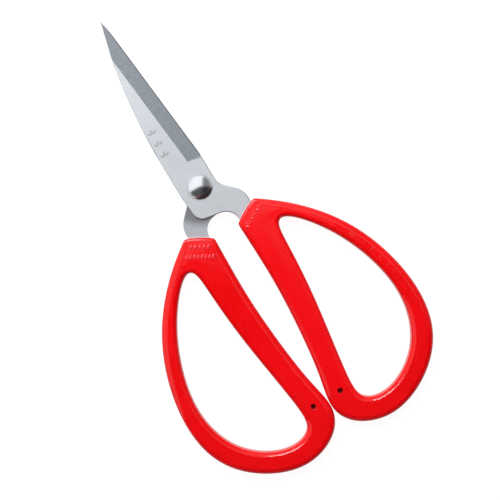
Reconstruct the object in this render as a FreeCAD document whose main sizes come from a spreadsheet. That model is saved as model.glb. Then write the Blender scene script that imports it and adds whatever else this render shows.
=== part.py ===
import FreeCAD, Part
import os

import Sketcher
from FreeCAD import Placement, Rotation, Vector

# Floral snips: two flat steel blades crossed on a rivet, each with a tang moulded into a plastic loop grip.
# +Y runs from the pivot to the tips, +X to the right, +Z out of the front face.
# The origin is on the pivot axis, in the plane on which the grips lie.
# The front half (blade and right grip) turns on the rear half (blade, left grip and rivet).

os.makedirs("parts", exist_ok=True)
doc = FreeCAD.newDocument("floral_snips")

# ---- driving sizes, mm and degrees ----

SIZES = [
    ("blade_reach", 69.0, "pivot to tip"),
    ("handle_reach", 104.8, "pivot to the foot of a loop"),
    ("bow_reach", 48.3, "centre plane to the outside of a loop"),
    ("grip_height", 9.0, "thickness of a grip"),
    ("grip_start", 13.5, "pivot to the outer corner of a grip"),
    ("grip_inner_start", 18.6, "pivot to the inner corner of a grip"),
    ("grip_lap", 1.2, "plastic beside the neck at the grip's end"),
    ("closing_gap", 0.3, "room left between the closed grips"),
    ("foot_bulge", 1.4, "how far the pole of the foot's contact stands back"),
    ("foot_round", 4.2, "pole that rounds the foot"),
    ("leg_offset", 5.4, "centre plane to the inner leg near its top"),
    ("leg_width_top", 11.6, "inner leg, at the top of the finger hole"),
    ("leg_width_foot", 9.6, "inner leg, at the foot of the finger hole"),
    ("web_height", 10.7, "grip's outer corner to the top of the finger hole"),
    ("bow_width", 6.65, "bow, at its widest reach"),
    ("foot_width", 8.3, "bar under the finger hole"),
    ("grip_round", 2.2, "rounding of the outer edges"),
    ("hole_round", 1.8, "rounding of the finger hole's edges"),
    ("grip_end_round", 0.9, "rounding round the end face"),
    ("grip_end_arch", 0.45, "how far the end face bulges in its middle"),
    ("blade_thickness", 2.2, "both blades"),
    ("blade_play", 0.1, "gap between the blades"),
    ("edge_offset", 6.15, "centre plane to the cutting side at the pivot"),
    ("edge_base", 10.4, "pivot to where the cutting edge starts to lean"),
    ("edge_tip_offset", 1.35, "centre plane to the edge where the tip curve starts"),
    ("tip_length", 9.0, "tip curve, along the blade"),
    ("tip_radius", 75.0, "tip curve"),
    ("nose_length", 13.5, "straight nose behind the tip, spine side"),
    ("nose_offset", 3.4, "centre plane to the corner of the nose"),
    ("spine_offset", 7.65, "centre plane to the front blade's spine"),
    ("spine_base", 13.0, "pivot to where the spine starts to curve"),
    ("spine_radius", 214.0, "curve of the spine"),
    ("spine_waist", 7.6, "centre plane to the spine beside the pivot"),
    ("rear_spine_inset", 0.4, "rear spine inside the front blade's edge"),
    ("heel_offset", 6.8, "centre plane to the corner of the heel"),
    ("heel_reach", 10.5, "pivot to the corner of the heel"),
    ("heel_radius", 3.8, "corner of the heel"),
    ("crotch_reach", 12.6, "pivot to the corner between heel and tang"),
    ("crotch_radius", 5.5, "fillet between heel and tang"),
    ("neck_inner", 6.15, "centre plane to the inner side of the neck"),
    ("neck_outer", 13.15, "centre plane to the outer side of the neck"),
    ("flare_start", 2.3, "pivot to where the neck flares out at 45 degrees"),
    ("flare_radius", 5.5, "hollow at the start of the flare"),
    ("shoulder_radius", 7.75, "rounding at the end of the flare"),
    ("tang_centre", 9.65, "centre plane to the middle of the tang at its bend"),
    ("tang_width", 5.3, "tang at its bend"),
    ("tang_foot_centre", 5.6, "centre plane to the middle of the tang's foot"),
    ("tang_foot_width", 4.6, "tang at its foot"),
    ("tang_from_foot", 14.2, "foot of the loop to the foot of the tang"),
    ("tang_hole", 2.6, "diameter of the holes that key the tang in the plastic"),
    ("mould_gap", 0.05, "plastic shrunk clear of the tang's sides"),
    ("pin_inset", 2.4, "foot of the tang to the mould's locating pin"),
    ("pin_hole", 1.9, "diameter of the locating pin"),
    ("bevel_width", 5.3, "flat grind beside the cutting edge"),
    ("bevel_start", 9.8, "pivot to the lower end of the grind"),
    ("edge_land", 0.35, "steel left at the cutting edge by the flat grind"),
    ("hone_width", 0.3, "second, steeper grind at the edge itself"),
    ("hone_land", 0.1, "steel left at the edge by the steeper grind"),
    ("run_out_angle", 36.0, "slope of the grind's lower end, from upright"),
    ("steel_round", 0.3, "softened front edges of a blade"),
    ("shank", 5.0, "diameter of the rivet's shank"),
    ("pivot_clearance", 0.05, "radial, shank in each blade and washer"),
    ("head", 9.2, "diameter of the rivet's head"),
    ("head_rim", 0.5, "upright rim of the head"),
    ("head_rise", 2.4, "dome above the rim"),
    ("washer", 8.2, "diameter of the washer under the head"),
    ("washer_thickness", 0.5, "washer under the head"),
    ("washer_play", 0.05, "gap between that washer and the front blade"),
    ("tail_washer", 10.0, "diameter of the washer under the rivet's tail"),
    ("tail_washer_thickness", 0.8, "washer under the rivet's tail"),
    ("tail", 7.6, "diameter of the rivet's upset tail"),
    ("tail_rim", 0.35, "upright rim of the tail"),
    ("tail_rise", 0.7, "low dome of the tail"),
    ("mark_depth", 0.1, "sprigs sunk in the front blade"),
    ("mark_height", 0.3, "sprigs and leaves raised on the grips"),
    ("sprig_leaf", 1.75, "length of each leaf of a sprig"),
    ("sprig_stem", 0.3, "foot of a sprig to the start of its leaves"),
    ("sprig_spread", 55.0, "middle leaf to each side leaf"),
    ("sprig_count", 3.0, "sprigs in a row"),
    ("sprig_pitch", 3.5, "sprig to sprig on the right grip"),
    ("sprig_drop", 3.9, "right grip's end to the feet of its sprigs"),
    ("blade_sprig_pitch", 4.5, "sprig to sprig on the blade"),
    ("blade_sprig_start", 15.3, "pivot to the foot of the first sprig"),
    ("blade_sprig_offset", 4.75, "centre plane to the middle of the sprigs"),
    ("row_leaf", 2.3, "length of a leaf in the rows on the left grip"),
    ("row_leaf_lean", 20.0, "lean of those leaves from the rows' own upright"),
    ("upper_row_pitch", 1.6, "leaf to leaf in the row nearer the end"),
    ("upper_row_count", 5.0, "leaves in that row"),
    ("upper_row_drop", 2.7, "grip's end to the middle of that row"),
    ("lower_row_pitch", 1.35, "leaf to leaf in the other row"),
    ("lower_row_count", 8.0, "leaves in that row"),
    ("lower_row_drop", 6.3, "grip's end to the middle of that row"),
]

sheet = doc.addObject("Spreadsheet::Sheet", "Sizes")
for row, (alias, number, meaning) in enumerate(SIZES, start=1):
    sheet.set(f"A{row}", meaning)
    sheet.set(f"B{row}", str(number))
    sheet.setAlias(f"B{row}", alias)
doc.recompute()

# Levels of the stack, from the table up, as expressions of the sheet.
MIDDLE = "Sizes.grip_height / 2"
REAR_TOP = f"({MIDDLE} - Sizes.blade_play / 2)"
REAR_BOTTOM = f"({REAR_TOP} - Sizes.blade_thickness)"
FRONT_BOTTOM = f"({MIDDLE} + Sizes.blade_play / 2)"
FRONT_TOP = f"({FRONT_BOTTOM} + Sizes.blade_thickness)"
WASHER_BOTTOM = f"({FRONT_TOP} + Sizes.washer_play)"
HEAD_BOTTOM = f"({WASHER_BOTTOM} + Sizes.washer_thickness)"
TAIL_TOP = f"({REAR_BOTTOM} - Sizes.tail_washer_thickness)"
TANG_FOOT = "(Sizes.handle_reach - Sizes.tang_from_foot)"
TANG_BEND = f"((Sizes.grip_inner_start + {TANG_FOOT}) / 2)"
SHANK_HOLE = "(Sizes.shank + 2 * Sizes.pivot_clearance)"

# The end of a grip slants across the neck: its run across, its fall along, and its chord.
END_RUN = "(Sizes.neck_outer - Sizes.neck_inner + 2 * Sizes.grip_lap)"
END_FALL = "(Sizes.grip_inner_start - Sizes.grip_start)"
END_CHORD = f"sqrt({END_RUN} ^ 2 + {END_FALL} ^ 2)"


# ---- sketching ----

def value(expression):
    return float(sheet.evalExpression(expression))


def new_body(label):
    body = doc.addObject("PartDesign::Body", label)
    body.Label = label
    return body


def new_sketch(body, name, role="XY_Plane", level=None):
    """A sketch on one of the body's own origin planes, lifted along its normal to a level."""
    sketch = body.newObject("Sketcher::SketchObject", name)
    plane = next(item for item in body.Origin.OriginFeatures if item.Role == role)
    sketch.AttachmentSupport = [(plane, "")]
    sketch.MapMode = "FlatFace"
    if level is not None:
        sketch.AttachmentOffset = Placement(Vector(0, 0, value(level)), Rotation())
        sketch.setExpression("AttachmentOffset.Base.z", level)
    return sketch


def bind(sketch, kind, *references, expression):
    """A driving constraint whose size follows the sheet."""
    index = sketch.addConstraint(Sketcher.Constraint(kind, *references, value(expression)))
    sketch.setExpression(f"Constraints[{index}]", expression)


def pin(sketch, geometry, point, place):
    """Hold a point at an (x, y) pair of expressions, measured from the sketch's origin."""
    bind(sketch, "DistanceX", -1, 1, geometry, point, expression=place[0])
    bind(sketch, "DistanceY", -1, 1, geometry, point, expression=place[1])


def at(place):
    return Vector(value(place[0]), value(place[1]), 0)


def mirrored(side, x):
    return x if side > 0 else f"-({x})"


def arc_between(start, end, radius):
    """The short arc from start to end; a positive radius puts its centre on the left."""
    chord = end - start
    left = Vector(-chord.y, chord.x, 0).normalize()
    rise = (radius ** 2 - (chord.Length / 2) ** 2) ** 0.5
    centre = (start + end) / 2 + left * (rise if radius > 0 else -rise)
    crown = centre - left * radius
    return Part.Arc(start, crown, end)


def loop(sketch, corners):
    """A closed outline: (x, y) for a straight side to the next corner, (x, y, radius) for an arc."""
    ids = []
    for corner, following in zip(corners, corners[1:] + corners[:1]):
        start = at(corner)
        end = at(following)
        if len(corner) == 2:
            shape = Part.LineSegment(start, end)
        else:
            shape = arc_between(start, end, value(corner[2]))
        ids.append(sketch.addGeometry(shape, False))
    ends = []
    for index, corner in zip(ids, corners):
        # An arc drawn clockwise keeps its start and end swapped.
        begins = sketch.getPoint(index, 1).isEqual(at(corner), 1e-6)
        ends.append((1, 2) if begins else (2, 1))
    for position, index in enumerate(ids):
        following = (position + 1) % len(ids)
        sketch.addConstraint(Sketcher.Constraint(
            "Coincident", index, ends[position][1], ids[following], ends[following][0]))
        pin(sketch, index, ends[position][0], corners[position])
        if len(corners[position]) == 3:
            radius = corners[position][2]
            bind(sketch, "Radius", index, expression=f"abs({radius})")


def ring(sketch, place, diameter):
    circle = sketch.addGeometry(Part.Circle(at(place), Vector(0, 0, 1), value(diameter) / 2), False)
    pin(sketch, circle, 3, place)
    bind(sketch, "Diameter", circle, expression=diameter)


def spline(sketch, poles, closed):
    """A cubic curve steered by poles, each pinned to its two expressions."""
    points = [at(pole) for pole in poles]
    curve = sketch.addGeometry(Part.BSplineCurve(points, None, None, closed, 3, None, False), False)
    first = None
    for number, point in enumerate(points):
        circle = sketch.addGeometry(Part.Circle(point, Vector(0, 0, 1), 1), True)
        if first is None:
            first = circle
            sketch.addConstraint(Sketcher.Constraint("Weight", circle, 1.0))
        else:
            sketch.addConstraint(Sketcher.Constraint("Equal", first, circle))
        sketch.addConstraint(Sketcher.Constraint(
            "InternalAlignment:Sketcher::BSplineControlPoint", circle, 3, curve, number))
        pin(sketch, circle, 3, poles[number])
    return curve


# ---- features ----

def settled(feature):
    doc.recompute()
    assert feature.isValid(), f"{feature.Label}: {feature.State}"
    return feature


def pad(body, sketch, name, length, downward=False):
    feature = body.newObject("PartDesign::Pad", name)
    feature.Profile = sketch
    feature.Reversed = downward
    feature.setExpression("Length", length)
    return settled(feature)


def pocket(body, sketch, name, length, upward=False):
    """Cut the sketch down from its plane, or up, and make sure that it took something away."""
    before = body.Shape.Volume
    feature = body.newObject("PartDesign::Pocket", name)
    feature.Profile = sketch
    feature.Reversed = upward
    feature.setExpression("Length", length)
    settled(feature)
    assert body.Shape.Volume < before - 1e-4, f"{name} cuts nothing"
    return feature


def rounded(body, name, base, names, radius):
    feature = body.newObject("PartDesign::Fillet", name)
    feature.Base = (base, names)
    feature.setExpression("Radius", radius)
    return settled(feature)


def edge_names(feature, wanted):
    return [f"Edge{i}" for i, edge in enumerate(feature.Shape.Edges, start=1) if wanted(edge)]


def upright_at(place):
    """Picks the straight upright edge that stands at an (x, y) pair of expressions."""
    spot = at(place)

    def wanted(edge):
        ends = [vertex.Point for vertex in edge.Vertexes]
        return len(ends) == 2 and all(abs(p.x - spot.x) + abs(p.y - spot.y) < 1e-4 for p in ends)
    return wanted


# ---- blades ----

def tang_sides(side, grow):
    """Corners of the tang from the inner side of the neck down, round its foot and up again."""
    half = f"(Sizes.tang_width / 2 + {grow})"
    half_foot = f"(Sizes.tang_foot_width / 2 + {grow})"
    return [
        (mirrored(side, f"Sizes.tang_centre - {half}"), f"-{TANG_BEND}"),
        (mirrored(side, f"Sizes.tang_foot_centre - {half_foot}"), f"-({TANG_FOOT} + {grow})"),
        (mirrored(side, f"Sizes.tang_foot_centre + {half_foot}"), f"-({TANG_FOOT} + {grow})"),
        (mirrored(side, f"Sizes.tang_centre + {half}"), f"-{TANG_BEND}"),
    ]


def tang_holes(side):
    """The keying holes: one at the bend, one half-way up to the grip's end and one half-way down."""
    upper_x = "(Sizes.tang_centre + (Sizes.neck_inner + Sizes.neck_outer) / 2) / 2"
    lower_x = "(Sizes.tang_centre + Sizes.tang_foot_centre) / 2"
    return [
        (mirrored(side, upper_x), f"-(Sizes.grip_inner_start + {TANG_BEND}) / 2"),
        (mirrored(side, "Sizes.tang_centre"), f"-{TANG_BEND}"),
        (mirrored(side, lower_x), f"-({TANG_BEND} + {TANG_FOOT}) / 2"),
    ]


def ground(body, side, name, back, back_depth, edge_depth):
    """A flat grind along the cutting edge, from back_depth at a distance back to edge_depth at the edge.

    A wedge is drawn across the blade and carried along the straight part of the edge.
    """
    outer = FRONT_TOP if side > 0 else REAR_BOTTOM
    inward = -side
    lean = "(Sizes.edge_offset - Sizes.edge_tip_offset)"
    run = "(Sizes.blade_reach - Sizes.tip_length - Sizes.edge_base)"
    edge_x = f"(Sizes.edge_offset + {lean} / {run} * (Sizes.edge_base - Sizes.bevel_start))"
    slope = f"(({edge_depth} - {back_depth}) / {back})"
    past = "Sizes.blade_thickness"
    high = f"({outer} - {inward} * {past})"
    low = f"({outer} + {inward} * ({edge_depth} + {past} * {slope}))"
    ridge = f"({edge_x} - {back} - ({back_depth} + {past}) / {slope})"
    profile = new_sketch(body, f"{body.Label}_{name}_profile", "XZ_Plane", "-Sizes.bevel_start")
    loop(profile, [
        (mirrored(side, ridge), high),
        (mirrored(side, f"{edge_x} + {past}"), low),
        (mirrored(side, f"{edge_x} + {past}"), high),
    ])
    before = body.Shape.Volume
    wedge = body.newObject("PartDesign::Pocket", f"{body.Label}_{name}")
    wedge.Profile = profile
    wedge.UseCustomVector = True
    wedge.Direction = Vector(0, 1, 0)
    wedge.setExpression("Direction.x", mirrored(side, f"-{lean}"))
    wedge.setExpression("Direction.y", run)
    wedge.setExpression("Length", "2 * Sizes.blade_reach")
    settled(wedge)
    assert body.Shape.Volume < before, f"{wedge.Label} cuts nothing"
    return wedge


def run_out(body, base):
    """Leans the upright wall at the grind's lower end back from the ground face."""
    def flat(face, low, high, axis):
        return isinstance(face.Surface, Part.Plane) and low < abs(face.Surface.Axis.dot(axis)) < high
    faces = list(enumerate(base.Shape.Faces, start=1))
    start = value("Sizes.bevel_start")
    walls = [f"Face{i}" for i, face in faces if flat(face, 0.99, 1.01, Vector(0, 1, 0))
             and abs(face.CenterOfMass.y - start) < 1e-3]
    slopes = [f"Face{i}" for i, face in faces if flat(face, 0.5, 0.99, Vector(0, 0, 1))]
    lean = body.newObject("PartDesign::Draft", f"{body.Label}_run_out")
    lean.Base = (base, walls)
    lean.NeutralPlane = (base, slopes)
    lean.Reversed = True
    lean.setExpression("Angle", "Sizes.run_out_angle")
    before = base.Shape.Volume
    settled(lean)
    assert body.Shape.Volume < before, f"{lean.Label} leans the wrong way"


def blade(label, side):
    """One stamped blade with its neck and tang; side +1 is the front blade, -1 the rear one."""
    front = side > 0
    body = new_body(label)
    bottom = FRONT_BOTTOM if front else REAR_BOTTOM

    flare = (mirrored(side, "Sizes.edge_offset"), "-Sizes.flare_start")
    shoulder = (mirrored(side, "Sizes.neck_outer"),
                "-(Sizes.flare_start + Sizes.neck_outer - Sizes.edge_offset)")
    heel = (mirrored(side, "-Sizes.heel_offset"), "-Sizes.heel_reach")
    crotch = (mirrored(side, "Sizes.neck_inner"), "-Sizes.crotch_reach")
    cutting_edge = [
        (mirrored(side, "Sizes.edge_offset"), "Sizes.edge_base"),
        (mirrored(side, "Sizes.edge_tip_offset"), "Sizes.blade_reach - Sizes.tip_length",
         f"{side} * Sizes.tip_radius"),
        ("0 * Sizes.blade_reach", "Sizes.blade_reach"),
    ]
    if front:
        spine = [
            ("-Sizes.nose_offset", "Sizes.blade_reach - Sizes.nose_length", "Sizes.spine_radius"),
            ("-Sizes.spine_offset", "Sizes.spine_base"),
            ("-Sizes.spine_waist", "0 * Sizes.blade_reach"),
        ]
    else:
        # The rear spine keeps inside the front blade's cutting edge, so it is hidden when shut.
        heel = ("Sizes.edge_offset - Sizes.rear_spine_inset", "-Sizes.heel_reach")
        spine = [
            ("Sizes.edge_tip_offset - Sizes.rear_spine_inset",
             "Sizes.blade_reach - Sizes.tip_length"),
            ("Sizes.edge_offset - Sizes.rear_spine_inset", "Sizes.edge_base"),
        ]
    tang = tang_sides(side, "0 * Sizes.mould_gap")
    outline = new_sketch(body, f"{label}_outline", level=bottom)
    loop(outline, [flare] + cutting_edge + spine + [heel, crotch] + tang + [shoulder])
    ring(outline, ("0 * Sizes.shank", "0 * Sizes.shank"), SHANK_HOLE)
    for place in tang_holes(side):
        ring(outline, place, "Sizes.tang_hole")
    sheet_steel = pad(body, outline, f"{label}_sheet", "Sizes.blade_thickness")

    corners = [
        (heel, "Sizes.heel_radius", "heel"),
        (crotch, "Sizes.crotch_radius", "crotch"),
        (flare, "Sizes.flare_radius", "flare"),
        (shoulder, "Sizes.shoulder_radius", "shoulder"),
    ]
    last = sheet_steel
    for place, radius, name in corners:
        names = edge_names(last, upright_at(place))
        last = rounded(body, f"{label}_{name}", last, names, radius)

    # The outer face is softened round the spine, heel and neck, down to where the plastic starts.
    outer = value(FRONT_TOP if front else REAR_BOTTOM)

    def softened(edge):
        middle = edge.valueAt((edge.FirstParameter + edge.LastParameter) / 2)
        flat = all(abs(vertex.Z - outer) < 1e-4 for vertex in edge.Vertexes)
        at_edge = side * middle.x > 0 and middle.y > -value("Sizes.flare_start")
        hole = middle.sub(Vector(0, 0, middle.z)).Length < value("Sizes.shank")
        return flat and not hole and not at_edge and middle.y > -value("Sizes.grip_start")
    names = edge_names(last, softened)
    last = rounded(body, f"{label}_soft_edges", last, names, "Sizes.steel_round")

    grind_depth = "(Sizes.blade_thickness - Sizes.edge_land)"
    grind = ground(body, side, "grind", "Sizes.bevel_width", "0 * Sizes.bevel_width", grind_depth)
    run_out(body, grind)
    ground(body, side, "hone", "Sizes.hone_width",
           f"{grind_depth} * (1 - Sizes.hone_width / Sizes.bevel_width)",
           "(Sizes.blade_thickness - Sizes.hone_land)")
    return body


front_blade = blade("front_blade", 1)
rear_blade = blade("rear_blade", -1)


# ---- grips ----

def leaf(sketch, centre, length, degrees):
    """A pointed leaf, twice as long as wide, leaning by some degrees from the sketch's +Y.

    Two arcs make it, each of a radius of 5/8 of the leaf's length.
    """
    across = f"{length} / 2 * sin({degrees})"
    along = f"{length} / 2 * cos({degrees})"
    stem = (f"{centre[0]} + {across}", f"{centre[1]} - {along}")
    point = (f"{centre[0]} - {across}", f"{centre[1]} + {along}")
    curve = f"{length} * 5 / 8"
    loop(sketch, [stem + (curve,), point + (curve,)])


def sprig(sketch, foot):
    """Three leaves that spread from one foot."""
    reach = "(Sizes.sprig_stem + Sizes.sprig_leaf / 2)"
    for degrees in ("Sizes.sprig_spread", "0 * Sizes.sprig_spread", "-Sizes.sprig_spread"):
        centre = (f"{foot[0]} - {reach} * sin({degrees})", f"{foot[1]} + {reach} * cos({degrees})")
        leaf(sketch, centre, "Sizes.sprig_leaf", degrees)


def grip(label, side):
    """A loop moulded round a blade's tang; side +1 is the right grip, -1 the left one."""
    body = new_body(label)
    length = "(Sizes.handle_reach - Sizes.grip_start)"

    def down(share):
        return f"-(Sizes.grip_start + {share} * {length})"

    outer_corner = (mirrored(side, "Sizes.neck_outer + Sizes.grip_lap"), "-Sizes.grip_start")
    inner_corner = (mirrored(side, "Sizes.neck_inner - Sizes.grip_lap"), "-Sizes.grip_inner_start")
    bow = [
        (0.435, 0.047), (0.686, 0.165), (0.906, 0.356), (1.018, 0.591),
        (0.976, 0.803), (0.734, 0.946), (0.383, 1.021),
    ]
    foot = [
        ("Sizes.foot_round", 0.967),
        ("Sizes.closing_gap / 2 - Sizes.foot_bulge", 0.870),
        ("0.39 * Sizes.leg_offset", 0.739),
        ("0.78 * Sizes.leg_offset", 0.553),
        ("1.07 * Sizes.leg_offset", 0.312),
        ("0.96 * Sizes.leg_offset", 0.159),
    ]
    poles = [outer_corner]
    poles += [(mirrored(side, f"{out} * Sizes.bow_reach"), down(share)) for out, share in bow]
    poles += [(mirrored(side, x), down(share)) for x, share in foot]
    poles += [inner_corner]

    outline = new_sketch(body, f"{label}_outline")
    rim = spline(outline, poles, False)
    arch = f"({END_CHORD} ^ 2 / (8 * Sizes.grip_end_arch) + Sizes.grip_end_arch / 2)"
    end_arc = arc_between(at(inner_corner), at(outer_corner), -side * value(arch))
    end_face = outline.addGeometry(end_arc, False)
    inner_end = 1 if outline.getPoint(end_face, 1).isEqual(at(inner_corner), 1e-6) else 2
    outline.addConstraint(Sketcher.Constraint("Coincident", rim, 2, end_face, inner_end))
    outline.addConstraint(Sketcher.Constraint("Coincident", end_face, 3 - inner_end, rim, 1))
    bind(outline, "Radius", end_face, expression=arch)

    # Poles of the finger hole: across from the leg's side (0) to the bow (1), and down it.
    hole_top = "(Sizes.grip_start + Sizes.web_height)"
    hole_depth = f"(Sizes.handle_reach - Sizes.foot_width - {hole_top})"
    leg_top = "(Sizes.leg_offset + Sizes.leg_width_top)"
    leg_foot = "(Sizes.closing_gap / 2 + Sizes.leg_width_foot)"
    hole_right = "(Sizes.bow_reach - Sizes.bow_width)"
    hole = [
        (0.002, 0.010), (0.165, -0.010), (0.602, 0.153), (0.913, 0.375), (1.052, 0.642), (0.857, 0.891),
        (0.381, 1.023), (0.013, 0.988), (-0.024, 0.865), (0.052, 0.400), (0.016, 0.110),
    ]
    hole_poles = []
    for across, share in hole:
        leg_side = f"({leg_top} + {share} * ({leg_foot} - {leg_top}))"
        x = f"{leg_side} + {across} * ({hole_right} - {leg_side})"
        hole_poles.append((mirrored(side, x), f"-({hole_top} + {share} * {hole_depth})"))
    spline(outline, hole_poles, True)
    block = pad(body, outline, f"{label}_block", "Sizes.grip_height")

    def level_curve(edge):
        heights = [vertex.Z for vertex in edge.Vertexes]
        return isinstance(edge.Curve, Part.BSplineCurve) and max(heights) - min(heights) < 1e-4

    def rim_edge(edge):
        return level_curve(edge) and len(edge.Vertexes) == 2

    def hole_edge(edge):
        return level_curve(edge) and len(edge.Vertexes) == 1
    last = rounded(body, f"{label}_round", block, edge_names(block, rim_edge), "Sizes.grip_round")
    last = rounded(body, f"{label}_hole_round", last, edge_names(last, hole_edge), "Sizes.hole_round")

    def is_end(face):
        return isinstance(face.Surface, Part.Cylinder) and abs(face.Surface.Axis.z) > 0.5
    ends = [f"Face{i}" for i, face in enumerate(last.Shape.Faces, start=1) if is_end(face)]
    last = rounded(body, f"{label}_end_round", last, ends, "Sizes.grip_end_round")

    # The room that the neck and tang take up, with plastic left standing in the keying holes.
    front = side > 0
    bottom = FRONT_BOTTOM if front else REAR_BOTTOM
    top = FRONT_TOP if front else REAR_TOP
    grow = "Sizes.mould_gap"
    neck_in = (mirrored(side, f"Sizes.neck_inner - {grow}"), "-Sizes.crotch_reach")
    neck_out = (mirrored(side, f"Sizes.neck_outer + {grow}"),
                "-(Sizes.flare_start + Sizes.neck_outer - Sizes.edge_offset)")
    cavity = new_sketch(body, f"{label}_tang_room", level=bottom)
    loop(cavity, [neck_in] + tang_sides(side, grow) + [neck_out])
    for place in tang_holes(side):
        ring(cavity, place, f"Sizes.tang_hole - 2 * {grow}")
    pocket(body, cavity, f"{label}_tang_pocket", "Sizes.blade_thickness", upward=True)

    # Blind holes left by the pins that held the tang in the mould, down to the steel on both faces.
    pin_place = (mirrored(side, "Sizes.tang_foot_centre"), f"-({TANG_FOOT} - Sizes.pin_inset)")
    for face, level, depth, upward in (
            ("front", "Sizes.grip_height", f"Sizes.grip_height - {top}", False),
            ("back", "0 * Sizes.grip_height", bottom, True)):
        mouth = new_sketch(body, f"{label}_{face}_pin_mouth", level=level)
        ring(mouth, pin_place, "Sizes.pin_hole")
        pocket(body, mouth, f"{label}_{face}_pin_hole", depth, upward)
    return body


right_grip = grip("right_grip", 1)
left_grip = grip("left_grip", -1)


# ---- marks: plain leaves ----

def end_sketch(body, name, side):
    """A sketch on a grip's front face: its origin half-way along the grip's end, +Y out of the end."""
    sketch = new_sketch(body, name, level="Sizes.grip_height")
    across = mirrored(side, "(Sizes.neck_inner + Sizes.neck_outer) / 2")
    along = "-(Sizes.grip_start + Sizes.grip_inner_start) / 2"
    lean = Rotation(Vector(0, 0, 1), side * value(f"atan({END_FALL} / {END_RUN})"))
    sketch.AttachmentOffset = Placement(Vector(value(across), value(along), 0), lean)
    sketch.setExpression("AttachmentOffset.Base.x", across)
    sketch.setExpression("AttachmentOffset.Base.y", along)
    sketch.setExpression("AttachmentOffset.Base.z", "Sizes.grip_height")
    return sketch


def repeated(body, feature, sketch, name, pitch, count):
    """A row of copies of a feature along its sketch's X."""
    row = body.newObject("PartDesign::LinearPattern", name)
    row.Originals = [feature]
    row.Direction = (sketch, ["H_Axis"])
    row.setExpression("Length", f"{pitch} * ({count} - 1)")
    row.setExpression("Occurrences", count)
    body.Tip = row
    return settled(row)


# A column of sprigs sunk in the flat of the front blade.
engraving = new_sketch(front_blade, "blade_sprigs", level=FRONT_TOP)
for step in range(int(value("Sizes.sprig_count"))):
    foot = f"Sizes.blade_sprig_start + {step} * Sizes.blade_sprig_pitch"
    sprig(engraving, ("-Sizes.blade_sprig_offset", foot))
pocket(front_blade, engraving, "blade_sprigs_cut", "Sizes.mark_depth")

# A row of sprigs on the right grip, centred under its end.
grip_sprig = end_sketch(right_grip, "grip_sprig", 1)
sprig(grip_sprig, ("-Sizes.sprig_pitch * (Sizes.sprig_count - 1) / 2", "-Sizes.sprig_drop"))
raised_sprig = pad(right_grip, grip_sprig, "raised_sprig", "Sizes.mark_height")
repeated(right_grip, raised_sprig, grip_sprig, "sprig_row", "Sizes.sprig_pitch", "Sizes.sprig_count")

# Two rows of small leaning leaves on the left grip, each row centred under the grip's end.
for name in ("upper_row", "lower_row"):
    leaves = end_sketch(left_grip, f"{name}_leaf", -1)
    first = f"-Sizes.{name}_pitch * (Sizes.{name}_count - 1) / 2"
    leaf(leaves, (first, f"-Sizes.{name}_drop"), "Sizes.row_leaf", "-Sizes.row_leaf_lean")
    raised = pad(left_grip, leaves, f"{name}_leaf_raised", "Sizes.mark_height")
    repeated(left_grip, raised, leaves, name, f"Sizes.{name}_pitch", f"Sizes.{name}_count")


# ---- rivet and washers ----

def turned(label, corners):
    """A piece of revolution about the pivot axis, from its half profile of (radius, level)."""
    body = new_body(label)
    profile = new_sketch(body, f"{label}_profile", "XZ_Plane")
    loop(profile, corners)
    spin = body.newObject("PartDesign::Revolution", f"{label}_turned")
    spin.Profile = profile
    spin.ReferenceAxis = (profile, ["V_Axis"])
    spin.Angle = 360
    settled(spin)
    return body


def dome_radius(diameter, rise):
    return f"((({diameter}) / 2) ^ 2 + ({rise}) ^ 2) / (2 * ({rise}))"


AXIS = "0 * Sizes.shank"
HEAD_EDGE = f"({HEAD_BOTTOM} + Sizes.head_rim)"
TAIL_EDGE = f"({TAIL_TOP} - Sizes.tail_rim)"
head_curve = dome_radius("Sizes.head", "Sizes.head_rise")
tail_curve = dome_radius("Sizes.tail", "Sizes.tail_rise")
pivot_rivet = turned("pivot_rivet", [
    (AXIS, f"{TAIL_EDGE} - Sizes.tail_rise", tail_curve),
    ("Sizes.tail / 2", TAIL_EDGE),
    ("Sizes.tail / 2", TAIL_TOP),
    ("Sizes.shank / 2", TAIL_TOP),
    ("Sizes.shank / 2", HEAD_BOTTOM),
    ("Sizes.head / 2", HEAD_BOTTOM),
    ("Sizes.head / 2", HEAD_EDGE, head_curve),
    (AXIS, f"{HEAD_EDGE} + Sizes.head_rise"),
])


def washer(label, diameter, bottom, top):
    return turned(label, [
        (f"{SHANK_HOLE} / 2", bottom),
        (f"{diameter} / 2", bottom),
        (f"{diameter} / 2", top),
        (f"{SHANK_HOLE} / 2", top),
    ])


head_washer = washer("head_washer", "Sizes.washer", WASHER_BOTTOM, HEAD_BOTTOM)
tail_washer = washer("tail_washer", "Sizes.tail_washer", TAIL_TOP, REAR_BOTTOM)


# ---- check and write ----

doc.recompute()
for item in doc.Objects:
    assert not {"Invalid", "Error"} & set(item.State), f"{item.Label}: {item.State}"
for piece in (front_blade, rear_blade, right_grip, left_grip, pivot_rivet, head_washer, tail_washer):
    shape = piece.Shape
    assert not shape.isNull() and shape.isValid(), f"{piece.Label} is not a sound solid"
    assert len(shape.Solids) == 1, f"{piece.Label} is in {len(shape.Solids)} pieces"
    shape.exportStep(f"parts/{piece.Label}.step")
    print(f"{piece.Label}: {shape.Volume:.0f} mm3")
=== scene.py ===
import math

import bpy
import numpy as np
from mathutils import Matrix, Vector, geometry, kdtree


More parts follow.
